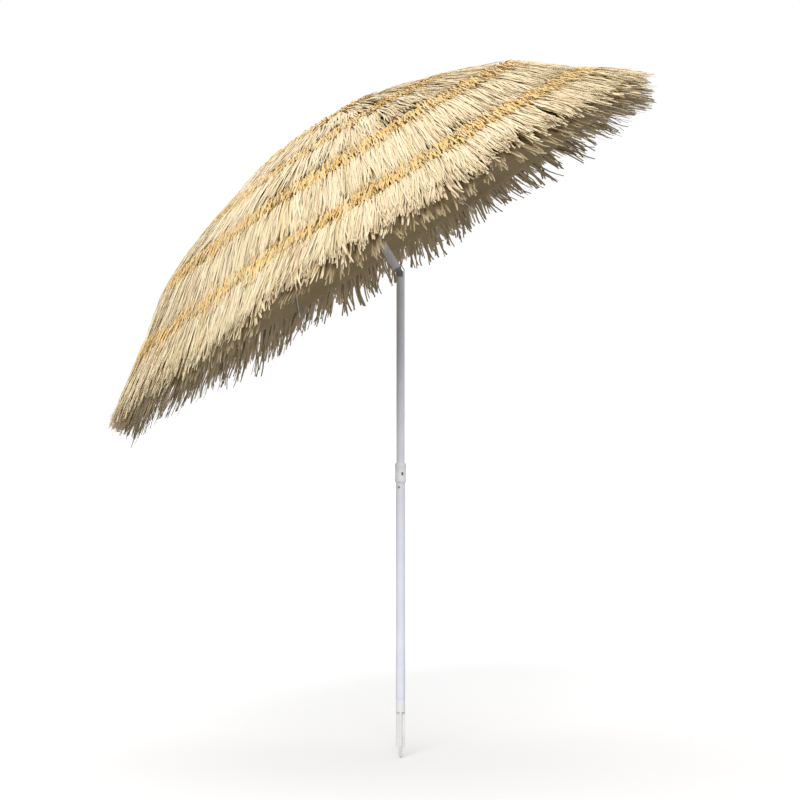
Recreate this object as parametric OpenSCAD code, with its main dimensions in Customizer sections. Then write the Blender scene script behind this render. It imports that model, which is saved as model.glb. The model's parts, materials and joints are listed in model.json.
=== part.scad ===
// Thatched beach umbrella: two-part pole with ground spike, tilt joint, eight-rib folding
// frame with runner and stretchers, fabric cover and raffia thatch. Millimetres, +Z up the pole.
// The origin is on the pole's axis at the foot of the steel tube, where the spike begins.

/* [Pole] */
// outer radius of the lower steel tube
lower_r = 12.5; // [10:0.5:20]
// wall of both steel tubes
wall = 1; // [0.8:0.1:2]
// top of the lower tube
lower_top = 620; // [400:5:900]
// height above which the lower tube is swaged down a little, for the rivet and the collar
swage_z = 566; // [350:1:850]
// how much the swaged end is smaller, in radius
swage = 0.2; // [0:0.05:0.4]
// outer radius of the upper steel tube
upper_r = 11; // [8:0.5:18]
// how far the upper tube reaches down inside the lower one, as height of its foot
upper_foot = 407; // [200:1:500]
// height of the tilt pivot
pivot_z = 1146; // [900:1:1500]
// length of the ground spike below the tube
spike_len = 156; // [100:1:300]
// radius of the spike's shank
spike_r = 12.2; // [9:0.1:15]

/* [Collar] */
// foot of the locking collar
collar_foot = 586; // [400:1:800]
// top of the locking collar
collar_top = 637; // [450:1:850]
// greatest radius of the collar
collar_r = 15.4; // [14:0.1:20]

/* [Tilt] */
// lean of the canopy pole in the rest pose, in degrees
tilt = 31.5; // [0:0.5:45]
// half of the tongue's thickness
tongue_half = 4.3; // [3:0.1:6]
// radius of the pivot pin
pin_r = 3; // [2:0.1:4]
// radius of the rounded tongue and fork ends
eye_r = 8.5; // [7:0.1:9.5]
// foot of the canopy tube above the pivot
stub = 18; // [15:1:40]

/* [Frame] */
// number of ribs
ribs = 8; // [6:2:12]
// distance of the rib hinges from the pole's axis
hinge_r = 20; // [17:0.5:26]
// height of the rib hinges above the tilt pivot
hinge_z = 392; // [300:1:500]
// radius of the curve of an open rib
rib_bend = 1214; // [800:1:2000]
// slope of a rib at its hinge, in degrees
slope_in = 2; // [0:0.5:10]
// slope of a rib at its tip, in degrees
slope_out = 42; // [30:0.5:60]
// radius of the rib wire
wire_r = 2; // [1.5:0.1:3]
// distance along the rib from its hinge to the stretcher rivet
lug_s = 165; // [120:1:400]
// depth of the rivet under the rib
lug_drop = 7; // [5:0.5:12]
// length of a stretcher between its pivots
stretcher_len = 195; // [150:1:450]

/* [Canopy] */
// thickness of the fabric
cover = 1; // [0.5:0.1:2]
// distance of the fabric above the middle of a rib
lift = 2.9; // [2.6:0.1:5]
// gap left on each side of the middle of a panel, where two sectors meet
seam = 0.25; // [0.2:0.05:1]
// thickness of the solid that stands for the raffia's outer face
raffia = 1.5; // [1:0.5:10]

/* [Hidden] */
$fn = 96;
e = 0.05;
swaged = lower_r - swage;
step = 360 / ribs;
half = step / 2;
rib_len = rib_bend * (slope_out - slope_in) * PI / 180;
arc_r = hinge_r - rib_bend * sin(slope_in);
arc_z = hinge_z - rib_bend * cos(slope_in);
function th(s) = slope_in + s / rib_bend * 180 / PI;
function along(s, off = 0) = [arc_r + (rib_bend + off) * sin(th(s)), arc_z + (rib_bend + off) * cos(th(s))];
lug = along(lug_s, -lug_drop);
run_z = lug[1] - sqrt(pow(stretcher_len, 2) - pow(lug[0] - hinge_r, 2));
stretch_a = atan2(lug[1] - run_z, lug[0] - hinge_r);
white = [0.86, 0.87, 0.9];
plastic = [0.93, 0.93, 0.93];
dark = [0.25, 0.25, 0.28];
cloth = [0.62, 0.53, 0.41];
straw = [0.87, 0.81, 0.65];
// outer face of the raffia over a rib: distance from the canopy's axis and height above the pivot
skin = [[119, 420], [171, 410], [270, 392], [368, 370], [470, 340], [565, 302], [646, 245], [727, 180],
        [800, 134], [860, 98], [912, 59]];

module on_canopy() translate([0, 0, pivot_z]) rotate([0, -tilt, 0]) children();
module at_rib(i) on_canopy() rotate([0, 0, half + step * (i - 1)]) children();
// a cylinder along Y, centred
module pegY(r, l) rotate([90, 0, 0]) cylinder(r = r, h = l, center = true);
module tube(r, inner, z0, z1) difference() {
  translate([0, 0, z0]) cylinder(r = r, h = z1 - z0);
  translate([0, 0, z0 - 1]) cylinder(r = inner, h = z1 - z0 + 2);
}

// ---- pole ----
module ground_spike() color(plastic) difference() {
  union() {
    translate([0, 0, -spike_len]) cylinder(r1 = 1.6, r2 = spike_r, h = 34);
    translate([0, 0, 34 - spike_len]) cylinder(r = spike_r, h = spike_len - 34);
    translate([0, 0, -e]) cylinder(r = lower_r - wall - e, h = 40);
  }
  // four flutes leave a cross-shaped blade
  for (a = [45:90:315]) rotate([0, 0, a]) flute();
  // hollow shank
  translate([0, 0, 4]) cylinder(r = 7.5, h = 40);
}
module flute() translate([11.2, 0, -spike_len - 1]) cylinder(r = 6.6, h = spike_len - 31);

module lower_pole() color(white) difference() {
  union() {
    tube(lower_r, lower_r - wall, 0, swage_z);
    tube(lower_r - swage, lower_r - wall, swage_z, lower_top);
  }
  collar_window();
  translate([-4, -lower_r, 573]) pegY(1.7, 6);
}
module collar_window() translate([2.3, -20, 604.8]) cube([5.4, 20 - 10.2, 8.4]);
module pole_collar() color(plastic) difference() {
  rotate_extrude() polygon([[swaged + e, collar_foot], [14.6, collar_foot], [collar_r, collar_foot + 3],
    [collar_r, collar_foot + 9], [14.5, collar_foot + 14], [14.5, collar_top - 14], [collar_r, collar_top - 9],
    [collar_r, collar_top - 3], [14.4, collar_top], [upper_r + 0.08, collar_top],
    [upper_r + 0.08, lower_top + 0.2], [swaged + e, lower_top + 0.2]]);
  collar_window();
}
module lock_button() color(dark) intersection() {
  translate([2.5, -13.9, 605]) cube([5, 1.9, 8]);
  translate([0, 0, 600]) cylinder(r = 14.3, h = 20);
}
module pole_rivet() color(dark) translate([-4, 0, 573]) rotate([90, 0, 0]) {
  translate([0, 0, 11.55]) cylinder(r = 1.65, h = 1.5);
  translate([0, 0, 12.55]) cylinder(r1 = 2.9, r2 = 2.1, h = 0.9);
}
module upper_pole() color(white) difference() {
  tube(upper_r, upper_r - wall, upper_foot, pivot_z + 8);
  translate([-20, -20, pivot_z - 8]) cube([26, 40, 30]);
}
module upper_glide() color(plastic) difference() {
  union() {
    translate([0, 0, upper_foot - 8]) cylinder(r = lower_r - wall - 0.08, h = 8 - e);
    translate([0, 0, upper_foot - 8]) cylinder(r = upper_r - wall - e, h = 38);
  }
  translate([0, 0, upper_foot - 9]) cylinder(r = 7, h = 40);
}

// ---- tilt joint ----
module tilt_fork() color(dark) difference() {
  intersection() {
    translate([0, 0, pivot_z - 70]) cylinder(r = upper_r - wall - e, h = 90);
    union() {
      translate([-15, -15, pivot_z - 70]) cube([30, 30, 70 - 13]);
      for (s = [-1, 1]) translate([0, s * 6.35, 0]) {
        translate([0, 0, pivot_z]) pegY(eye_r, 3.3);
        translate([-eye_r, -1.65, pivot_z - 14]) cube([2 * eye_r, 3.3, 14]);
      }
    }
  }
  translate([0, 0, pivot_z]) pegY(pin_r + e, 40);
  translate([0, 0, pivot_z - 71]) cylinder(r = 5, h = 46);
}
module tilt_pin() color(dark) translate([0, 0, pivot_z]) {
  pegY(pin_r, 16.2);
  for (s = [-1, 1]) translate([0, s * 8.75, 0]) pegY(4.4, 1.4);
}
module tilt_tongue() color(dark) on_canopy() difference() {
  union() {
    pegY(eye_r, 2 * tongue_half);
    translate([-eye_r, -tongue_half, 0]) cube([2 * eye_r, 2 * tongue_half, stub]);
    translate([0, 0, stub - 7]) cylinder(r1 = 8.8, r2 = upper_r, h = 6);
    translate([0, 0, stub - 1]) cylinder(r = upper_r, h = 1 - e);
    translate([0, 0, stub - 2]) cylinder(r = upper_r - wall - e, h = 42);
  }
  pegY(pin_r + 0.06, 20);
}

// ---- canopy pole and hubs ----
module canopy_pole() color(white) on_canopy() tube(upper_r, upper_r - wall, stub, hinge_z + 2);
module slots(r, w, z0, h) for (i = [0:ribs - 1]) rotate([0, 0, half + step * i])
  translate([r, -w / 2, z0]) cube([20, w, h]);
module top_notch() color(plastic) on_canopy() difference() {
  tube(26, upper_r + e, hinge_z - 8, hinge_z + 4);
  slots(15, 4.8, hinge_z - 20, 40);
  translate([0, 0, hinge_z]) rotate_extrude() translate([hinge_r, 0]) circle(r = 1.05);
}
module notch_wire() color(dark) on_canopy() translate([0, 0, hinge_z])
  rotate_extrude() translate([hinge_r, 0]) circle(r = 1);
module finial() color(plastic) on_canopy() translate([0, 0, hinge_z]) {
  translate([0, 0, -22]) cylinder(r = upper_r - wall - e, h = 24 + e);
  translate([0, 0, 4.2]) cylinder(r = 24, h = 2.2);
  translate([0, 0, 2]) cylinder(r = upper_r - e, h = 3);
  translate([0, 0, 6.3]) cylinder(r1 = 13, r2 = 11, h = 18);
  translate([0, 0, 24.3]) cylinder(r1 = 11, r2 = 6, h = 5);
}
module runner() color(plastic) on_canopy() translate([0, 0, run_z]) difference() {
  union() {
    tube(26, upper_r + 0.08, -6, 6);
    tube(15.5, upper_r + 0.08, -6, 46);
    tube(18, upper_r + 0.08, 40, 46);
  }
  slots(16.4, 5, -20, 52);
}

// ---- ribs and stretchers ----
module rib(i) color(dark) at_rib(i) difference() {
  union() {
    translate([arc_r, 0, arc_z]) rotate([90, 0, 0]) rotate([0, 0, 90 - slope_out])
      rotate_extrude(angle = slope_out - slope_in - 0.12) translate([rib_bend, 0]) circle(r = wire_r);
    translate([hinge_r, 0, hinge_z]) pegY(3.2, 4);
    // lug for the stretcher rivet
    translate([lug[0], 0, lug[1]]) rotate([0, th(lug_s), 0]) {
      pegY(4.2, 2.2);
      translate([-4.2, -1.1, 0]) cube([8.4, 2.2, lug_drop]);
    }
    translate([lug[0], 0, lug[1]]) {
      pegY(1.5, 7.4);
      for (s = [-1, 1]) translate([0, s * 4.1, 0]) pegY(2.6, 1);
    }
  }
  translate([hinge_r, 0, hinge_z]) pegY(1.3, 8);
}
module rib_tip(i) color(plastic) at_rib(i) translate([along(rib_len)[0], 0, along(rib_len)[1]])
  rotate([0, 90 + slope_out, 0]) difference() {
    union() {
      translate([0, 0, -12]) cylinder(r = 2.8, h = 12.5);
      translate([0, 0, 0.5]) cylinder(r1 = 2.8, r2 = 3.8, h = 1);
      translate([0, 0, 1.5]) cylinder(r = 3.8, h = 2.5);
      translate([0, 0, 4]) cylinder(r1 = 3.8, r2 = 2.4, h = 1.6);
    }
    translate([0, 0, -13]) cylinder(r = wire_r + 0.06, h = 13 + e);
  }
module stretcher(i) color(dark) at_rib(i) translate([hinge_r, 0, run_z]) rotate([0, -stretch_a, 0])
  difference() {
    union() {
      pegY(2.2, 4);
      rotate([0, 90, 0]) cylinder(r = 1.9, h = stretcher_len - 10);
      translate([stretcher_len - 14, -2.9, -1.9]) cube([5, 5.8, 3.8]);
      for (s = [-1, 1]) translate([stretcher_len, s * 2.25, 0]) {
        pegY(4, 1.3);
        translate([-14, -0.65, -1.9]) cube([14, 1.3, 3.8]);
      }
    }
    translate([stretcher_len, 0, 0]) pegY(1.6, 12);
  }

// ---- canopy ----
// Each sector is carried by one rib and reaches to the middle of the panel on either side of it.
// loop is its outline over the rib: distance from the axis and height. Away from the rib it runs
// straight across to the next one, as stretched cloth does. ends cuts the loop into convex pieces
// for the faces at the middle of the panels.
function at_mid(p, side) = [p[0] * pow(cos(half), 2) + seam * sin(half),
  side * (p[0] * cos(half) * sin(half) - seam * cos(half)), p[1]];
module sector(loop, ends) {
  n = len(loop);
  polyhedron(
    points = concat([for (p = loop) at_mid(p, -1)], [for (p = loop) [p[0], 0, p[1]]],
      [for (p = loop) at_mid(p, 1)]),
    faces = concat(
      ends,
      [for (f = ends) [for (k = [len(f) - 1:-1:0]) 2 * n + f[k]]],
      [for (c = [0, n], k = [0:n - 1]) [c + k, c + n + k, c + n + (k + 1) % n, c + (k + 1) % n]]));
}
cloth_s = [for (k = [0:12]) 16 + k * (rib_len - 32) / 12];
module fabric(i) color(cloth) at_rib(i)
  sector(concat([for (s = cloth_s) along(s, lift + cover)], [for (k = [12:-1:0]) along(cloth_s[k], lift)]),
    [for (k = [0:11]) [k, k + 1, 24 - k, 25 - k]]);
function low(p) = [p[0] - raffia * 0.45, p[1] - raffia * 1.1];
// the sewn heads of the first and the last row reach down to the fabric
module thatch(i) color(straw) at_rib(i)
  sector(concat(skin, [for (k = [10, 9, 8]) low(skin[k])], [[726, 179], [726, 142], [724.5, 142], [724.5, 180]],
    [for (k = [6, 5, 4, 3, 2, 1]) low(skin[k])], [[120.6, 418], [120.6, 389.5], [119, 389.5]]),
    [[0, 24, 25, 26], [0, 1, 23, 24], [1, 2, 22, 23], [2, 3, 21, 22], [3, 4, 20, 21], [4, 5, 19, 20],
    [5, 6, 18, 19], [6, 7, 17, 18], [7, 14, 17], [14, 15, 16, 17], [7, 8, 13, 14], [8, 9, 12, 13],
    [9, 10, 11, 12]]);
module crown_thatch() color(straw) on_canopy() rotate_extrude() polygon([[14, 398.7], [23, 398.7],
  [23, 400.7], [16, 400.7], [16, 436], [46, 436], [114, 421], [114, 423.2], [46, 438.2], [14, 438.2]]);

ground_spike();
lower_pole();
pole_collar();
lock_button();
pole_rivet();
upper_pole();
upper_glide();
tilt_fork();
tilt_pin();
tilt_tongue();
canopy_pole();
top_notch();
notch_wire();
finial();
crown_thatch();
runner();
rib(1);  // rib_1
rib(2);  // rib_2
rib(3);  // rib_3
rib(4);  // rib_4
rib(5);  // rib_5
rib(6);  // rib_6
rib(7);  // rib_7
rib(8);  // rib_8
rib_tip(1);  // rib_tip_1
rib_tip(2);  // rib_tip_2
rib_tip(3);  // rib_tip_3
rib_tip(4);  // rib_tip_4
rib_tip(5);  // rib_tip_5
rib_tip(6);  // rib_tip_6
rib_tip(7);  // rib_tip_7
rib_tip(8);  // rib_tip_8
stretcher(1);  // stretcher_1
stretcher(2);  // stretcher_2
stretcher(3);  // stretcher_3
stretcher(4);  // stretcher_4
stretcher(5);  // stretcher_5
stretcher(6);  // stretcher_6
stretcher(7);  // stretcher_7
stretcher(8);  // stretcher_8
fabric(1);  // fabric_1
fabric(2);  // fabric_2
fabric(3);  // fabric_3
fabric(4);  // fabric_4
fabric(5);  // fabric_5
fabric(6);  // fabric_6
fabric(7);  // fabric_7
fabric(8);  // fabric_8
thatch(1);  // thatch_1
thatch(2);  // thatch_2
thatch(3);  // thatch_3
thatch(4);  // thatch_4
thatch(5);  // thatch_5
thatch(6);  // thatch_6
thatch(7);  // thatch_7
thatch(8);  // thatch_8
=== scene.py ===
"""Looks of a thatched beach umbrella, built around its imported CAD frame. Metres, in the CAD's own frame."""

import json
import math

import bpy
import numpy as np
from mathutils import Matrix, Vector


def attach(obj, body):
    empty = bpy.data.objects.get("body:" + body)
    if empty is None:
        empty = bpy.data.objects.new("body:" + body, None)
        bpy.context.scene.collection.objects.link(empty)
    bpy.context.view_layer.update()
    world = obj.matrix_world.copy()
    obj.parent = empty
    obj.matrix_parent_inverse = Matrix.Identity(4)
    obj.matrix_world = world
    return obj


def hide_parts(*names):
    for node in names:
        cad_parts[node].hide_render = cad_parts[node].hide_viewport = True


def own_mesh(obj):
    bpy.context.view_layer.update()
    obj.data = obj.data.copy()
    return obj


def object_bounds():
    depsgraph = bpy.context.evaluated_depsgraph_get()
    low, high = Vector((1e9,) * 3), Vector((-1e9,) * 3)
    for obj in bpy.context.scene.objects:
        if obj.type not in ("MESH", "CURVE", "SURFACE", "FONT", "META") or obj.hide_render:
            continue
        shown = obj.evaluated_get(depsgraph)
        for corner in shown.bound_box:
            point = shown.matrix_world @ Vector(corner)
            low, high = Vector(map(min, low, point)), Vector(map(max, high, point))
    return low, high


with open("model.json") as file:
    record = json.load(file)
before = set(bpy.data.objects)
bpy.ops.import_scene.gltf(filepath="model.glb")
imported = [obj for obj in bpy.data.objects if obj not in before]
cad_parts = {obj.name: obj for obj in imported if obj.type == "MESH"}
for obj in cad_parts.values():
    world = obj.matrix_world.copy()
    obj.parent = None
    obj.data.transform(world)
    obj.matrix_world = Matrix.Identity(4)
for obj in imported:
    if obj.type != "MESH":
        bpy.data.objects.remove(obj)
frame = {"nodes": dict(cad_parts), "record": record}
cad_box = [list(corner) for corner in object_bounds()]
nodes = frame["nodes"]
scene = bpy.context.scene

# ---------------------------------------------------------------- camera
CAMERA_AT = (-0.0015, -7.0, 0.807)
SEEN_WIDTH = 2.152  # what the picture takes in at the pole
camera = bpy.data.objects.new("camera", bpy.data.cameras.new("camera"))
camera.data.lens = camera.data.sensor_width * -CAMERA_AT[1] / SEEN_WIDTH
camera.data.clip_end = 200
camera.location = CAMERA_AT
camera.rotation_euler = (math.radians(90), 0, 0)
scene.collection.objects.link(camera)
scene.camera = camera

# ---------------------------------------------------------------- the umbrella's shape
# The canopy's own frame has its origin at the tilt pivot, its axis along Z and its high side along +X.
RIBS = 8
PANEL_DEG = 360 / RIBS
HALF = math.radians(PANEL_DEG / 2)  # from the middle of a panel to a rib
TILT = math.radians(31.5)
PIVOT = Vector((0, 0, 1.146))
HINGE_R, HINGE_Z = 0.020, 0.392  # a rib's hinge: from the axis, and above the pivot
BEND = 1.214  # the radius that the ribs are bent to
SLOPE_IN, SLOPE_OUT = math.radians(2), math.radians(42)  # a rib's slope at its hinge and at its tip
RIB_LEN = BEND * (SLOPE_OUT - SLOPE_IN)
ARC_R = HINGE_R - BEND * math.sin(SLOPE_IN)
ARC_Z = HINGE_Z - BEND * math.cos(SLOPE_IN)
CLOTH_LIFT, CLOTH_THICK = 0.0031, 0.0009  # the cover's underside over a rib's middle line, and its thickness
CLOTH_FROM, CLOTH_TO = 0.016, RIB_LEN - 0.016  # where the cover starts and ends along a rib
# outer face of the raffia over a rib: distance from the canopy's axis, and height above the tilt pivot
SKIN_R = np.array([0, 60, 119, 171, 270, 368, 470, 565, 646, 727, 800, 860, 912, 980]) / 1000
SKIN_Z = np.array([440, 452, 454, 446, 420, 389, 353, 314, 260, 196, 146, 104, 62, 14]) / 1000
FLUFF = 0.22  # how much thicker the raffia stands on the high side, and thinner on the low side

canopy = Matrix.Translation(PIVOT) @ Matrix.Rotation(-TILT, 4, "Y")
CANOPY_R = np.array(canopy.to_3x3())
CANOPY_T = np.array(canopy.translation)
GRAVITY = CANOPY_R.T @ np.array([0, 0, -1.0])  # straight down, in the canopy's own frame


def to_cad(points):
    """Points of the canopy's frame, in the CAD's frame."""
    return points @ CANOPY_R.T + CANOPY_T


def rib_azimuth(i):
    return HALF + 2 * HALF * (i - 1)


# ---------------------------------------------------------------- materials
def linear(c):
    """One channel of a display colour, 0 to 255, as the linear value that shaders take."""
    return c / 255 / 12.92 if c <= 10 else ((c / 255 + 0.055) / 1.055) ** 2.4


def srgb(r, g, b):
    return np.array([linear(c) for c in (r, g, b)])


class Graph:
    """A material with one Principled shader, and short ways to add nodes to it."""

    def __init__(self, name, roughness, specular=0.5, metallic=0.0):
        self.mat = bpy.data.materials.new(name)
        self.mat.use_nodes = True
        self.tree = self.mat.node_tree
        self.shader = self.tree.nodes["Principled BSDF"]
        self.shader.inputs["Roughness"].default_value = roughness
        self.shader.inputs["Specular IOR Level"].default_value = specular
        self.shader.inputs["Metallic"].default_value = metallic
        self.place = self.node("ShaderNodeTexCoord").outputs["Object"]

    def put(self, socket, value):
        if isinstance(value, bpy.types.NodeSocket):
            self.tree.links.new(value, socket)
        else:
            socket.default_value = value

    def node(self, kind, inputs=None, **settings):
        made = self.tree.nodes.new(kind)
        for key, value in settings.items():
            setattr(made, key, value)
        for key, value in (inputs or {}).items():
            self.put(made.inputs[key], value)
        return made

    def scaled(self, vector, scale):
        return self.node("ShaderNodeMapping", {"Vector": vector, "Scale": scale}).outputs[0]

    def noise(self, scale, detail=3.0, rough=0.55, vector=None, distortion=0.0):
        return self.node(
            "ShaderNodeTexNoise",
            {
                "Vector": self.place if vector is None else vector,
                "Scale": scale,
                "Detail": detail,
                "Roughness": rough,
                "Distortion": distortion,
            },
        ).outputs["Fac"]

    def math(self, operation, a, b=0.0):
        made = self.node("ShaderNodeMath", operation=operation)
        self.put(made.inputs[0], a)
        self.put(made.inputs[1], b)
        return made.outputs[0]

    def span(self, value, low, high, to_low=0.0, to_high=1.0):
        return self.node(
            "ShaderNodeMapRange",
            {"Value": value, "From Min": low, "From Max": high, "To Min": to_low, "To Max": to_high},
        ).outputs[0]

    def mix(self, factor, a, b, blend="MIX"):
        made = self.node("ShaderNodeMix", data_type="RGBA", blend_type=blend)
        self.put(made.inputs[0], factor)
        for socket, value in ((made.inputs[6], a), (made.inputs[7], b)):
            self.put(socket, value if isinstance(value, bpy.types.NodeSocket) else (*value, 1))
        return made.outputs[2]

    def bump(self, height, strength, distance):
        inputs = {"Height": height, "Strength": strength, "Distance": distance}
        return self.node("ShaderNodeBump", inputs).outputs[0]

    def finish(self, colour, rough=None, normal=None):
        self.put(self.shader.inputs["Base Color"], colour)
        if rough is not None:
            self.put(self.shader.inputs["Roughness"], rough)
        if normal is not None:
            self.put(self.shader.inputs["Normal"], normal)
        return self.mat


def powder_coat():
    """White powder coat on steel tube: orange peel, faint mottling and faint wear along the tube."""
    g = Graph("powder_coat", 0.34, 0.5)
    mottle = g.noise(9, 4)
    streak = g.noise(5, 3, vector=g.scaled(g.place, (90, 90, 2.0)))
    colour = g.mix(g.span(mottle, 0.35, 0.7), srgb(226, 229, 238), srgb(212, 216, 227))
    colour = g.mix(g.span(streak, 0.62, 0.8, 0, 0.35), colour, srgb(176, 180, 190))
    peel = g.noise(900, 2)
    rough = g.span(g.noise(60, 3), 0.3, 0.7, 0.27, 0.42)
    return g.finish(colour, rough, g.bump(peel, 0.12, 0.0003))


SPIKE_TIP, SOIL_TOP = -0.156, -0.07  # heights between which the soil on the spike thins out


def moulded_plastic(name, tone, scale=1.0, soil=0.0):
    """Moulded plastic with a fine spark-eroded texture, slight flow marks and, low on a spike, some soil."""
    g = Graph(name, 0.45, 0.45)
    flow = g.noise(14 * scale, 3, distortion=1.2)
    colour = g.mix(g.span(flow, 0.3, 0.75), tone, tone * 0.9)
    if soil:
        height = g.node("ShaderNodeSeparateXYZ", {"Vector": g.place}).outputs["Z"]
        low = g.span(height, SOIL_TOP, SPIKE_TIP, 0, 1)
        grit = g.span(g.noise(220, 4), 0.45, 0.7)
        colour = g.mix(g.math("MULTIPLY", g.math("MULTIPLY", low, grit), soil), colour, srgb(168, 158, 136))
    grain = g.noise(1600, 2)
    return g.finish(colour, g.span(flow, 0.3, 0.7, 0.36, 0.52), g.bump(grain, 0.14, 0.0002))


def dark_steel(name, tone, metallic, turned=False):
    """Steel with a drawn or turned finish, zinc mottling and darker grease in places."""
    g = Graph(name, 0.38, 0.5, metallic)
    vector = g.scaled(g.place, (1, 1, 14) if turned else (14, 14, 1))
    lines = g.noise(160, 3, vector=vector)
    bloom = g.noise(45, 5)
    colour = g.mix(g.span(bloom, 0.35, 0.7), tone, tone * 0.62)
    colour = g.mix(g.span(g.noise(18, 2), 0.6, 0.8, 0, 0.4), colour, tone * 0.4)
    return g.finish(colour, g.span(lines, 0.3, 0.7, 0.28, 0.5), g.bump(lines, 0.2, 0.0002))


RING_HEADS = (0.171, 0.368, 0.565, 0.727)  # where the golden rows are sewn on, from the axis
THREAD_PITCH, STITCH_PITCH = 0.0011, 0.0045
SEAM_HALF = 0.0016  # half the width of a stitched line


def canopy_cloth():
    """Plain-woven cover, in browns darker than its beige cloth: painted shade for the canopy's underside.
    Rows where the raffia is sewn on show as lines of lighter stitches.
    """
    g = Graph("canopy_cloth", 0.85, 0.2)
    g.shader.inputs["Sheen Weight"].default_value = 0.15
    uv = g.node("ShaderNodeUVMap", uv_map="cut").outputs[0]
    split = g.node("ShaderNodeSeparateXYZ", {"Vector": uv})
    across, along = split.outputs["X"], split.outputs["Y"]
    threads = 2 * math.pi / THREAD_PITCH
    weft = g.math("SINE", g.math("MULTIPLY", across, threads))
    warp = g.math("SINE", g.math("MULTIPLY", along, threads))
    weave = g.math("MULTIPLY", weft, warp)
    slub = g.noise(240, 3, vector=g.scaled(uv, (1, 0.12, 1)))
    blotch = g.noise(7, 4)
    # these browns, darker than the cloth's own beige, paint the shade of the canopy's underside
    colour = g.mix(g.span(blotch, 0.3, 0.72), srgb(166, 147, 112), srgb(146, 128, 95))
    colour = g.mix(g.span(slub, 0.5, 0.75, 0, 0.5), colour, srgb(184, 164, 128))
    rows = None
    for r in RING_HEADS:
        off = g.math("ABSOLUTE", g.math("SUBTRACT", along, arc_at(r)))
        near = g.math("LESS_THAN", off, SEAM_HALF)
        rows = near if rows is None else g.math("MAXIMUM", rows, near)
    thread_run = g.math("SINE", g.math("MULTIPLY", across, 2 * math.pi / STITCH_PITCH))
    dash = g.math("GREATER_THAN", thread_run, -0.35)
    stitch = g.math("MULTIPLY", rows, dash)
    colour = g.mix(stitch, colour, srgb(196, 176, 128))
    height = g.math("ADD", g.math("MULTIPLY", weave, 0.35), g.math("MULTIPLY", stitch, -1.6))
    return g.finish(colour, g.span(slub, 0.3, 0.7, 0.78, 0.92), g.bump(height, 0.5, 0.0005))


def raffia_straw():
    """Raffia strip: the strip's own tint, fine lengthwise fibres, and a dull satin gloss."""
    g = Graph("raffia_straw", 0.5, 0.35)
    tint = g.node("ShaderNodeAttribute", attribute_name="tint").outputs["Color"]
    uv = g.node("ShaderNodeUVMap", uv_map="strand").outputs[0]
    fibre = g.noise(3.0, 4, 0.65, vector=g.scaled(uv, (5, 9, 1)))
    patch = g.noise(1.0, 3, 0.5, vector=g.scaled(uv, (1.1, 22, 1)))
    darker = g.mix(1.0, tint, (0.84, 0.80, 0.72), "MULTIPLY")
    paler = g.mix(1.0, tint, (1.12, 1.1, 1.02), "MULTIPLY")
    colour = g.mix(g.span(fibre, 0.38, 0.66, 0, 0.5), tint, darker)
    colour = g.mix(g.span(patch, 0.52, 0.74, 0, 0.55), colour, paler)
    return g.finish(colour, g.span(fibre, 0.3, 0.7, 0.42, 0.6), g.bump(fibre, 0.4, 0.0006))


# ---------------------------------------------------------------- canopy surfaces, in the canopy's frame
def arc_at(r):
    """Distance along a rib, from its hinge, to the place r from the axis."""
    return BEND * (math.asin((r - ARC_R) / BEND) - SLOPE_IN)


def rib_point(s, lift):
    """(distance from the axis, height) at distance s along a rib, and so far over its middle line."""
    slope = SLOPE_IN + s / BEND
    return ARC_R + (BEND + lift) * np.sin(slope), ARC_Z + (BEND + lift) * np.cos(slope)


def cloth_height(r):
    """Height of the cover's upper face over a rib."""
    reach = BEND + CLOTH_LIFT + CLOTH_THICK
    inside = np.clip((r - ARC_R) / reach, -0.99, 0.99)
    return ARC_Z + reach * np.sqrt(1 - inside**2)


PANELS = np.radians(PANEL_DEG * np.arange(RIBS))  # azimuths of the panels' middles
PANEL_DIRS = np.stack([np.cos(PANELS), np.sin(PANELS)])
ROUNDING = 0.016  # how softly the raffia turns over a rib


def over(points):
    """(distance over a rib where the raffia is as high as at each point, its gradient).

    Panels are straight across, and turn over the ribs with a rounded edge.
    """
    along = points[:, :2] @ PANEL_DIRS
    top = along.max(1, keepdims=True)
    share = np.exp((along - top) / ROUNDING)
    total = share.sum(1, keepdims=True)
    r = (top[:, 0] + ROUNDING * np.log(total[:, 0])) / math.cos(HALF)
    return r, (share / total) @ PANEL_DIRS.T / math.cos(HALF)


def straight_r(points):
    """Distance over a rib that has the height of the cover at the points, with sharp corners at the ribs."""
    return (points[:, :2] @ PANEL_DIRS).max(1) / math.cos(HALF)


def skin_height(r):
    return np.interp(r, SKIN_R, SKIN_Z)


def skin_slope(r, step=0.004):
    return (skin_height(r + step) - skin_height(r - step)) / (2 * step)


def unit(v):
    return v / np.maximum(np.linalg.norm(v, axis=-1, keepdims=True), 1e-9)


# ---------------------------------------------------------------- raffia
CLOTH_EDGE = 0.792  # from the axis: inside it the strips lie on the cover, and past it they hang free
CREAM = srgb(233, 217, 180)
PALE = srgb(241, 229, 198)
PINKISH = srgb(234, 211, 179)
GREENISH = srgb(225, 214, 172)
OLIVE = srgb(214, 195, 130)
GOLD = srgb(232, 186, 100)
ORANGE = srgb(226, 172, 86)
PALE_GOLD = srgb(238, 206, 138)
UNDER = srgb(236, 217, 172)
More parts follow.
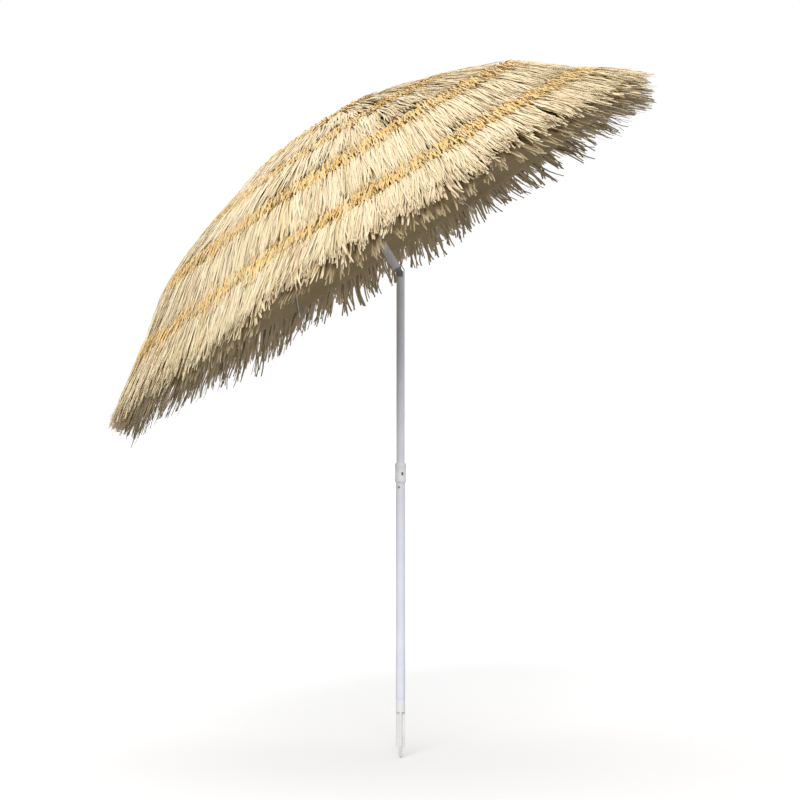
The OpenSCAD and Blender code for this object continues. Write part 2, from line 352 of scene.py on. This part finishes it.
# a dark brown that paints the shade under the canopy onto the innermost strips of the hanging row
PAINTED_SHADE_BROWN = srgb(150, 132, 100)
PLAIN = [CREAM, PALE, PINKISH, GREENISH, OLIVE]
GOLDEN = [GOLD, ORANGE, PALE_GOLD, OLIVE]
SEGMENTS = 8  # straight stretches in one strip
FALL = (0.7, 1.15)  # how strongly the strips turn downhill
CLUMP = 0.026  # the stretch of a row whose strips lean together
CLUMP_REACH = 0.02  # the farthest along the row that a strip is drawn to the middle of its clump
CLUMP_DRAWS = 4000  # random pairs that the clumps share out, more than a row has clumps
GATHER_LYING, GATHER_FREE = 9, 4  # how strongly clumps draw together where they lie and where they hang
KEEP_WAY, TAKE_WAY = 0.45, 0.55  # how much of its old way and of the wanted way a lying strip goes on in
DROOP = 0.4  # how fast a hanging strip bends down
LEAST_THICK = 0.004  # the thinnest that a row gets
CLEARANCE = 0.0035  # of the innermost strips' middle lines over the cover
LONG_LOW, LONG_FAR = 0.12, 0.05  # how much longer the strips hang on the low side and on the far side

TURN = 6.28  # about once round, in radians

rng = np.random.default_rng(7)


def pick(count, colours, shares):
    """One of the colours for each strip, in these shares."""
    table = np.array(colours)
    return table[rng.choice(len(table), count, p=np.array(shares) / sum(shares))]


def girth_of(r):
    """Length of a sewn row, straight across all the panels."""
    return 2 * RIBS * r * math.sin(HALF)


def row_roots(r, spacing):
    """Places round one sewn row, about spacing apart: the points and how far along the row each one is."""
    side = 2 * r * math.sin(HALF)
    count = int(RIBS * side / spacing)
    at = (np.arange(count) + rng.uniform(-0.45, 0.45, count)) / count * RIBS * side
    panel = np.floor(at / side).astype(int) % RIBS
    offset = at - np.floor(at / side) * side - side / 2
    mid = np.stack([np.cos(PANELS[panel]), np.sin(PANELS[panel])], 1)
    across = np.stack([-mid[:, 1], mid[:, 0]], 1)
    return mid * r * math.cos(HALF) + across * offset[:, None], at


def smooth(t):
    """0 up to t = 0, 1 from t = 1, and a soft step between them."""
    t = np.clip(t, 0, 1)
    return t * t * (3 - 2 * t)


def wander(at, length, seed, wave):
    """A smooth closed random line along a row, mostly between -1 and 1, with swings about wave long."""
    local = np.random.default_rng(seed)
    total = np.zeros_like(at)
    for n in range(1, 6):
        cycles = max(1, round(length / wave * n / 2.5))
        height = local.normal()
        phase = local.uniform(0, TURN)
        total += height * np.sin(2 * np.pi * cycles * at / length + phase) / math.sqrt(n)
    return total / 2


def lay_strips(
    r, spacing, length, low, high, seed, widths,
    rise=0.055, start=0.35, ragged=0.065, spread=0.004, clumping=1.0,
):
    """Centre lines of one row's strips, shape (strips, segments + 1, 3), with depths, widths and places.

    A depth is 0 at the cover and 1 at the outer face. A strip starts at the share start of its depth, and
    has all of it after the distance rise. ragged is how uneven the lengths are, and spread is how far off
    the row the roots lie, in metres. clumping is how strongly the strips draw together.
    """
    roots, at = row_roots(r, spacing)
    count = len(roots)
    roots = roots * (1 + rng.uniform(-spread, spread, count) / r)[:, None]
    girth = girth_of(r)
    depth = rng.uniform(low, high, count)
    clump = np.floor(at / CLUMP + 0.6 * wander(at, girth, seed + 1, 0.2))
    table = np.random.default_rng(seed + 2).normal(size=(CLUMP_DRAWS, 2))
    draw = table[clump.astype(int) % CLUMP_DRAWS]
    # length and sway each have a clump's share, a strip's own and one that wanders along the row
    uneven = ragged * (0.75 * draw[:, 0] + 0.55 * rng.normal(size=count))
    long = length * (1 + uneven + 0.05 * wander(at, girth, seed, 0.3))
    outward = unit(roots)
    long = np.clip(long, length * 0.62, length * 1.3)
    long = long * (1 - LONG_LOW * outward[:, 0] + LONG_FAR * outward[:, 1])
    sway = 0.08 * draw[:, 1] + 0.06 * rng.normal(size=count) + 0.09 * wander(at, girth, seed + 3, 0.5)
    pull = rng.uniform(*FALL, count)
    centre = (clump + 0.5) * CLUMP
    gather = np.clip(centre - at, -CLUMP_REACH, CLUMP_REACH) * clumping
    points = np.zeros((count, SEGMENTS + 1, 3))
    here = np.concatenate([roots, np.zeros((count, 1))], 1)

    def settle(p, s):
        """Height of the strips at points p, a distance s from their roots."""
        r_now, _ = over(p)
        base = cloth_height(np.minimum(straight_r(p), CLOTH_EDGE)) + CLEARANCE
        thick = (skin_height(r_now) - base) * (1 + FLUFF * p[:, 0] / np.maximum(r_now, 0.3))
        share = depth * (start + (1 - start) * smooth(s / rise))
        return base + np.maximum(thick, LEAST_THICK) * share

    here[:, 2] = settle(here, np.zeros(count))
    points[:, 0] = here
    direction = None
    step = long / SEGMENTS
    for k in range(1, SEGMENTS + 1):
        r_now, grad = over(here)
        free = r_now > CLOTH_EDGE
        slope = grad * skin_slope(r_now)[:, None]
        normal = unit(np.concatenate([-slope, np.ones((count, 1))], 1))
        radial = unit(np.concatenate([here[:, :2], np.zeros((count, 1))], 1))
        radial = unit(radial - (radial * normal).sum(1, keepdims=True) * normal)
        down = GRAVITY - (normal @ GRAVITY)[:, None] * normal
        side = np.cross(normal, radial)
        aside = sway + gather * GATHER_LYING * (k / SEGMENTS)
        wanted = unit(radial + down * pull[:, None] + side * aside[:, None])
        if direction is None:
            direction = wanted
        bent = unit(direction + GRAVITY * (DROOP * step)[:, None] + side * (gather * GATHER_FREE)[:, None])
        direction = np.where(free[:, None], bent, unit(KEEP_WAY * direction + TAKE_WAY * wanted))
        here = here + direction * step[:, None]
        r_new, _ = over(here)
        rest = settle(here, long * k / SEGMENTS)
        here[:, 2] = np.where(r_new <= CLOTH_EDGE, rest, here[:, 2])
        points[:, k] = here
    return points, depth, rng.uniform(*widths, count), at


TWIST = 0.25  # spread of the strips' turns about their own middle lines, in radians
WAVE = 0.0022  # how far the strips wave sideways
TAPER = 0.55  # a strip's width at its tip, as a share of its width
THICK = 0.07  # a strip's ridge over its edges, as a share of its width
GOLD_FROM, GOLD_FADE = 0.015, 0.055  # the root's colour holds so far, and fades over this length


def strip_mesh(name, points, width, tint_root, tint, root_mix):
    """A mesh of thin folded strips, closed all round, along the given centre lines of the CAD's frame."""
    count, stations = points.shape[:2]
    points = points.copy()
    tangent = unit(np.gradient(points, axis=1))
    up = np.broadcast_to(CANOPY_R @ np.array([0, 0, 1.0]), tangent.shape)
    outward = points - to_cad(np.zeros((1, 3)))[0]
    outward = outward - (outward * CANOPY_R[:, 2]).sum(-1, keepdims=True) * CANOPY_R[:, 2]
    guide = up + 0.8 * unit(outward)
    side = unit(np.cross(tangent, guide))
    raised = unit(np.cross(side, tangent))
    s = np.linspace(0, 1, stations)[None, :]
    phase, freq = rng.uniform(0, TURN, (count, 1)), rng.uniform(0.8, 2.4, (count, 1))
    swing = WAVE * rng.uniform(0.3, 1.3, (count, 1)) * np.sin(TURN * freq * s + phase) * smooth(s * 3)
    lift = 0.6 * WAVE * np.sin(TURN * (freq * 1.3) * s + 2.1 * phase) * smooth(s * 3)
    points += side * swing[..., None] + raised * lift[..., None]
    turn = rng.normal(0, 0.15, (count, 1)) + rng.normal(0, TWIST, (count, 1)) * s
    cos, sin = np.cos(turn)[..., None], np.sin(turn)[..., None]
    across, ridge = side * cos + raised * sin, raised * cos - side * sin
    shape = np.clip(1.0 - (1 - TAPER) * smooth((s - 0.45) / 0.55), 0, 1) * (0.75 + 0.25 * smooth(s * 6))
    half = (width[:, None] * shape / 2)[..., None]
    top = points + ridge * (half * 2 * THICK + 0.0003)
    verts = np.stack([points - across * half, top, points + across * half], 2).reshape(-1, 3)
    base = (np.arange(count) * stations * 3)[:, None, None]
    ring = (np.arange(stations - 1) * 3)[None, :, None]
    quads = []
    for a, b in ((0, 1), (1, 2), (2, 0)):
        near, far = base + ring, base + ring + 3
        quads.append(np.concatenate([near + a, near + b, far + b, far + a], 2))
    quads = np.concatenate(quads, 1).reshape(-1, 4)
    first = base[:, 0] + np.array([2, 1, 0])
    last = base[:, 0] + (stations - 1) * 3 + np.array([0, 1, 2])
    mesh = bpy.data.meshes.new(name)
    mesh.from_pydata(verts.tolist(), [], quads.tolist() + first.tolist() + last.tolist())
    section = np.arange(len(verts)) % 3
    edges = np.zeros(len(mesh.edges) * 2, np.int32)
    mesh.edges.foreach_get("vertices", edges)
    edges = edges.reshape(-1, 2)
    sharp = mesh.attributes.new("sharp_edge", "BOOLEAN", "EDGE")
    sharp.data.foreach_set("value", section[edges[:, 0]] == section[edges[:, 1]])
    mesh.polygons.foreach_set("use_smooth", np.ones(len(mesh.polygons), bool))
    span = np.linalg.norm(np.diff(points, axis=1), axis=2).sum(1)
    metres = s * span[:, None]
    share = root_mix[:, None] * (1 - smooth((metres - GOLD_FROM) / GOLD_FADE))
    colours = tint[:, None] * (1 - share[..., None]) + tint_root[:, None] * share[..., None]
    colours = np.repeat(colours[:, :, None], 3, 2).reshape(-1, 3)
    rgba = np.concatenate([colours, np.ones((len(colours), 1))], 1).astype(np.float32)
    attribute = mesh.attributes.new("tint", "FLOAT_COLOR", "POINT")
    attribute.data.foreach_set("color", rgba.ravel())
    uv = np.zeros((count, stations, 3, 2))
    uv[..., 0] = np.array([0, 0.5, 1.0]) + (np.arange(count) * 3.7)[:, None, None]
    uv[..., 1] = metres[..., None] + (np.arange(count) * 0.37 % 5)[:, None, None]
    uv = uv.reshape(-1, 2)
    corner = np.zeros(len(mesh.loops), np.int32)
    mesh.loops.foreach_get("vertex_index", corner)
    layer = mesh.uv_layers.new(name="strand")
    layer.data.foreach_set("uv", uv[corner].astype(np.float32).ravel())
    made = bpy.data.objects.new(name, mesh)
    scene.collection.objects.link(made)
    mesh.materials.append(STRAW)
    return made


STRAW = raffia_straw()
CLOTH = canopy_cloth()

# rows: where the strips are sewn on, from the axis, and their length; the first has no golden heads
ROWS = [(0.098, 0.125), *zip(RING_HEADS, (0.215, 0.225, 0.215, 0.199))]
# layers of a row, from the cover outward: spacing, depths, widths, share of the row's length
LAYERS = [
    (0.0050, (0.02, 0.25), (0.005, 0.0095), 0.97),
    (0.0034, (0.50, 0.78), (0.006, 0.011), 0.98),
    (0.0022, (0.80, 0.93), (0.004, 0.0078), 0.98),
    (0.0030, (0.92, 1.02), (0.0024, 0.0056), 0.93),
]
# layers of short strips over a golden row's heads: spacing, depths, length
HEADS = [
    (0.0034, (0.68, 0.88), 0.056),
    (0.0030, (0.84, 0.98), 0.050),
    (0.0032, (0.94, 1.05), 0.062),
]
HEADS_IN = 0.006  # how much nearer the axis the heads are sewn on than their row


def drift(at, head_r, seed, wave):
    """A random line along a row, from 0 to 1."""
    return 0.5 + 0.5 * np.clip(wander(at, girth_of(head_r), seed, wave), -1, 1)


def row_batch(n, layer):
    """One layer of row n: (centre lines, widths, root colours, colours, shares of the root colour)."""
    head_r, length = ROWS[n]
    spacing, (low, high), widths, share = LAYERS[layer]
    seed = 100 * n + 10 * layer
    points, depth, width, at = lay_strips(head_r, spacing, length * share, low, high, seed, widths)
    count = len(points)
    tint = pick(count, PLAIN, [48, 24, 16, 10, 2])
    warm = 0.25 * drift(at, head_r, 900 + 10 * n + layer, 0.4)[:, None]
    tint = tint * (1 - warm) + PINKISH * warm
    # deeper strips take UNDER, a plain tint; the innermost layer of the last row takes instead a dark brown,
    # painted shade for the canopy's underside
    deep_tone_and_shade = 0.8 * (1 - smooth((depth - 0.05) / 0.5))[:, None]
    lowest = layer == 0 and n == len(ROWS) - 1
    tint = tint * (1 - deep_tone_and_shade) + (PAINTED_SHADE_BROWN if lowest else UNDER) * deep_tone_and_shade
    tint = tint * rng.uniform(0.93, 1.04, (count, 1))
    roots = pick(count, GOLDEN, [38, 14, 38, 10])
    mixed = rng.uniform(0.15, 0.8, count) * (1.0 if n > 0 else 0.0)
    return points, width, roots, tint, mixed


def heads_batch(n, layer):
    """One layer of the golden heads of row n, in row_batch's form."""
    head_r, _ = ROWS[n]
    spacing, (low, high), length = HEADS[layer]
    points, _, width, at = lay_strips(
        head_r - HEADS_IN, spacing, length, low, high, 2000 + 100 * n + 10 * layer, (0.0025, 0.0055),
        rise=0.02, start=0.86, ragged=0.3, spread=0.016, clumping=0.25,
    )
    count = len(points)
    patchy = drift(at, head_r, 3000 + 10 * n + layer, 0.25)
    roots = pick(count, GOLDEN, [40, 18, 32, 10]) * rng.uniform(0.92, 1.05, (count, 1))
    tint = pick(count, [PALE_GOLD, CREAM, GREENISH], [50, 40, 10])
    return points, width, roots, tint, 0.45 + 0.5 * patchy * rng.uniform(0.6, 1, count)


batches = [[row_batch(n, layer) for layer in range(len(LAYERS))] for n in range(len(ROWS))]
for n in range(1, len(ROWS)):
    batches[n] += [heads_batch(n, layer) for layer in range(len(HEADS))]


def sector_of(points):
    """Which rib carries each strip, from its root."""
    azimuth = np.degrees(np.arctan2(points[:, 0, 1], points[:, 0, 0])) % 360
    return np.floor(azimuth / PANEL_DEG).astype(int) + 1


def gathered(batch_list, i):
    """The strips of all the batches that rib i carries, as one batch."""
    picked = [[part[sector_of(b[0]) == i] for part in b] for b in batch_list]
    return [np.concatenate(parts) for parts in zip(*picked)]


def folds(piece, i):
    """The piece rides on rib i, with a mesh of its own."""
    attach(piece, f"rib_{i}")
    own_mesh(piece)


# ---------------------------------------------------------------- the sewn cover
COVER_ROWS, COVER_COLS = 56, 24
HEM_IN = 0.010  # how far the hem curves in between two ribs
HEM_FROM, HEM_OVER = 0.5, 0.33  # where along a rib the cover starts to follow the hem, and over what length
SAG, SAG_R = 0.007, 0.79  # how far the cover hangs below straight between two ribs, so far from the axis


def cover_sector(i):
    """The part of the cover that rib i carries, stretched across to the middle of the panels beside it."""
    rows, cols = COVER_ROWS, COVER_COLS
    s = np.linspace(CLOTH_FROM, CLOTH_TO, rows + 1)[:, None]
    w = np.linspace(-1, 1, cols + 1)[None, :]
    inward = 1 - (1 - np.abs(w)) ** 2
    s = s - HEM_IN * inward * smooth((s - HEM_FROM) / HEM_OVER)
    r, z = rib_point(s, CLOTH_LIFT)
    x = r * (1 - np.abs(w) * math.sin(HALF) ** 2)
    y = r * w * math.cos(HALF) * math.sin(HALF)
    z = z - SAG * inward * (r / SAG_R) ** 1.5
    a = rib_azimuth(i)
    points = np.stack([x * math.cos(a) - y * math.sin(a), x * math.sin(a) + y * math.cos(a), z + 0 * x], -1)
    mesh = bpy.data.meshes.new(f"cover_{i}")
    index = np.arange((rows + 1) * (cols + 1)).reshape(rows + 1, cols + 1)
    quads = np.stack([index[:-1, :-1], index[1:, :-1], index[1:, 1:], index[:-1, 1:]], -1).reshape(-1, 4)
    mesh.from_pydata(to_cad(points.reshape(-1, 3)).tolist(), [], quads.tolist())
    layer = mesh.uv_layers.new(name="cut")
    flat = np.stack([y, s + 0 * y], -1).reshape(-1, 2)
    corner = np.zeros(len(mesh.loops), np.int32)
    mesh.loops.foreach_get("vertex_index", corner)
    layer.data.foreach_set("uv", flat[corner].astype(np.float32).ravel())
    mesh.polygons.foreach_set("use_smooth", np.ones(len(mesh.polygons), bool))
    piece = bpy.data.objects.new(f"cover_{i}", mesh)
    scene.collection.objects.link(piece)
    mesh.materials.append(CLOTH)
    solid = piece.modifiers.new("thickness", "SOLIDIFY")
    solid.thickness, solid.offset = CLOTH_THICK, 1
    bpy.context.view_layer.objects.active = piece
    piece.select_set(True)
    bpy.ops.object.modifier_apply(modifier=solid.name)
    piece.select_set(False)
    return piece


# ---------------------------------------------------------------- crown
# rings of strips round the hub: distance from the axis, strips, length, lowest and highest top
CROWN_RINGS = [
    (0.020, 60, 0.108, 0.414, 0.423),
    (0.017, 70, 0.116, 0.422, 0.430),
    (0.013, 80, 0.112, 0.429, 0.438),
    (0.012, 40, 0.100, 0.436, 0.444),
]
CROWN_R = 0.11  # about how far the crown reaches
TUFT_R, TUFT_Z, TUFT_REACH_X, TUFT_REACH_Y = 0.100, 0.432, 0.016, 0.022  # where the upright tuft grows
TUFT_FLOOR = 0.440  # the tuft's strips stay over this height
TUFT_STRIPS, ROSETTE_STRIPS = 90, 90


def round_the_hub(count, turns):
    """Azimuths about evenly spread over so many turns."""
    return (np.arange(count) + rng.uniform(-0.5, 0.5, count)) / count * (2 * turns) * np.pi


def crown_ring(r0, count, long, low, high):
    """Strips that lie outward over the first row."""
    azimuth = round_the_hub(count, 1)
    here = np.stack([r0 * np.cos(azimuth), r0 * np.sin(azimuth), np.full(count, high)], 1)
    top = rng.uniform(low, high, count)
    step = long * rng.uniform(0.82, 1.16, count) / SEGMENTS
    points = [here]
    sway = rng.normal(0, 0.16, count)
    downhill = np.array([GRAVITY[0], GRAVITY[1], 0])
    for _ in range(SEGMENTS):
        radial = unit(np.concatenate([here[:, :2], np.zeros((count, 1))], 1))
        side = np.cross(np.array([0, 0, 1.0]), radial)
        here = here + unit(radial + downhill * 0.35 + side * sway[:, None]) * step[:, None]
        share = np.linalg.norm(here[:, :2], axis=1) / CROWN_R
        here[:, 2] = top - 0.010 * share - 0.012 * share**2
        points.append(here)
    tint = pick(count, PLAIN, [40, 26, 14, 12, 8]) * rng.uniform(0.86, 1.06, (count, 1))
    return np.stack(points, 1), rng.uniform(0.003, 0.008, count), tint, tint, np.zeros(count)


def upright_tuft():
    """Short strips that stand up on the high side of the hub."""
    count = TUFT_STRIPS
    azimuth = rng.uniform(0, 2 * np.pi, count)
    cos, sin = np.cos(azimuth), np.sin(azimuth)
    here = np.stack([TUFT_R + TUFT_REACH_X * cos, TUFT_REACH_Y * sin, np.full(count, TUFT_Z)], 1)
    way = unit(np.stack([cos * 0.3, sin * 0.3, np.ones(count)], 1))
    outward = unit(np.stack([cos, sin, np.zeros(count)], 1))
    step = rng.uniform(0.024, 0.044, count) / SEGMENTS
    points = [here]
    for _ in range(SEGMENTS):
        way = unit(way + GRAVITY * 0.30 + 0.10 * outward)
        here = here + way * step[:, None]
        here[:, 2] = np.maximum(here[:, 2], TUFT_FLOOR)
        points.append(here)
    tint = pick(count, [PALE_GOLD, GREENISH, OLIVE, PALE], [30, 30, 15, 25])
    tint = tint * rng.uniform(0.88, 1.04, (count, 1))
    return np.stack(points, 1), rng.uniform(0.003, 0.0065, count), tint, tint, np.zeros(count)


def rosette_strips():
    """Short strips over the hub, which stay on it when the canopy closes."""
    count = ROSETTE_STRIPS
    azimuth = round_the_hub(count, 2)
    top = rng.uniform(0.437, 0.447, count)
    length = rng.uniform(0.034, 0.050, count)
    along = np.linspace(0, 1, SEGMENTS + 1)
    reach = 0.003 + length[:, None] * along
    swirl = azimuth[:, None] + rng.normal(0, 0.25, (count, 1)) * along
    height = top[:, None] - 0.3 * reach - 4 * reach**2
    tint = pick(count, PLAIN, [40, 26, 14, 12, 8]) * rng.uniform(0.9, 1.03, (count, 1))
    points = np.stack([reach * np.cos(swirl), reach * np.sin(swirl), height], 2)
    return points, rng.uniform(0.003, 0.006, count), tint, tint, np.zeros(count)


batches[0] += [crown_ring(*ring) for ring in CROWN_RINGS]
batches[0].append(upright_tuft())
# rows that make one piece, and the share of its width that a sector's piece keeps when the canopy is closed,
# so that neighbours meet
GROUPS = [((0, 1), 0.40), ((2,), 0.29), ((3,), 0.21), ((4,), 0.14)]
for i in range(1, RIBS + 1):
    tufts = []
    for g, (rows, keep) in enumerate(GROUPS, 1):
        points, width, roots, tint, mixed = gathered([b for n in rows for b in batches[n]], i)
        tufts.append(strip_mesh(f"raffia_{i}_{g}", to_cad(points), width, roots, tint, mixed))
        folds(tufts[-1], i)
    cover = cover_sector(i)
    folds(cover, i)
    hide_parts(f"thatch_{i}")
    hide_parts(f"fabric_{i}")

points, width, roots, tint, mixed = rosette_strips()
rosette = strip_mesh("crown_raffia", to_cad(points), width, roots, tint, mixed)
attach(rosette, "head")
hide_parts("crown_thatch")

# ---------------------------------------------------------------- carried-over CAD nodes
COAT = powder_coat()
SPIKE = moulded_plastic("spike_plastic", srgb(232, 233, 236), 1.0, soil=0.5)
WHITE = moulded_plastic("white_plastic", srgb(234, 234, 238), 2.0)
DARK = moulded_plastic("dark_plastic", srgb(92, 92, 100), 3.0)
STEEL = dark_steel("dark_steel", srgb(150, 150, 156), 0.85, turned=True)
RIB = dark_steel("rib_steel", srgb(206, 206, 208), 0.25)
FINISH = {
    "powder_coat": COAT, "spike_plastic": SPIKE, "white_plastic": WHITE, "dark_plastic": DARK,
    "dark_steel": STEEL, "rib_steel": RIB, "canopy_fabric": CLOTH, "raffia": STRAW,
}
for part in frame["record"]["subparts"]:
    piece = nodes[part["node"]]
    for place in piece.material_slots:
        place.material = FINISH[part["material_slot"]]

# ---------------------------------------------------------------- stage
FLOOR_Z = cad_box[0][2] - 0.0005
FLOOR_SIDE, FLOOR_NEAR, FLOOR_FAR = 60, -20, 120
floor_mesh = bpy.data.meshes.new("floor")
near_edge = [(-FLOOR_SIDE, FLOOR_NEAR, FLOOR_Z), (FLOOR_SIDE, FLOOR_NEAR, FLOOR_Z)]
far_edge = [(FLOOR_SIDE, FLOOR_FAR, FLOOR_Z), (-FLOOR_SIDE, FLOOR_FAR, FLOOR_Z)]
floor_mesh.from_pydata(near_edge + far_edge, [], [(0, 1, 2, 3)])
floor = bpy.data.objects.new("floor", floor_mesh)
scene.collection.objects.link(floor)
# the floor is nearly white to the camera, and darker to the light that it throws up under the canopy
floor_look = Graph("floor", 0.9, 0.0)
seen = floor_look.node("ShaderNodeLightPath").outputs["Is Camera Ray"]
floor_mesh.materials.append(floor_look.finish(floor_look.mix(seen, (0.36, 0.35, 0.34), (0.86, 0.86, 0.86))))


sun = bpy.data.objects.new("key", bpy.data.lights.new("key", "SUN"))
sun.data.energy = 1.75
sun.data.angle = math.radians(30)
sun.data.color = (1.0, 0.985, 0.955)
sun.rotation_euler = Vector((0.12, 0.90, -0.50)).to_track_quat("-Z", "Y").to_euler()
scene.collection.objects.link(sun)
world = bpy.data.worlds.new("world")
scene.world = world
world.use_nodes = True
tree = world.node_tree
backdrop = tree.nodes["Background"]
backdrop.inputs["Color"].default_value = (1, 1, 1, 1)
# the sky lights most from above; the camera sees it plain white
height = tree.nodes.new("ShaderNodeSeparateXYZ")
tree.links.new(tree.nodes.new("ShaderNodeTexCoord").outputs["Generated"], height.inputs[0])
dome = tree.nodes.new("ShaderNodeMapRange")
for name, value in (("From Min", 0.0), ("From Max", 0.8), ("To Min", 0.60), ("To Max", 1.20)):
    dome.inputs[name].default_value = value
tree.links.new(height.outputs["Z"], dome.inputs["Value"])
path = tree.nodes.new("ShaderNodeLightPath")
strength = tree.nodes.new("ShaderNodeMapRange")
strength.inputs["To Max"].default_value = 1.0
tree.links.new(dome.outputs[0], strength.inputs["To Min"])
tree.links.new(path.outputs["Is Camera Ray"], strength.inputs["Value"])
tree.links.new(strength.outputs[0], backdrop.inputs["Strength"])
scene.view_settings.view_transform = "Standard"
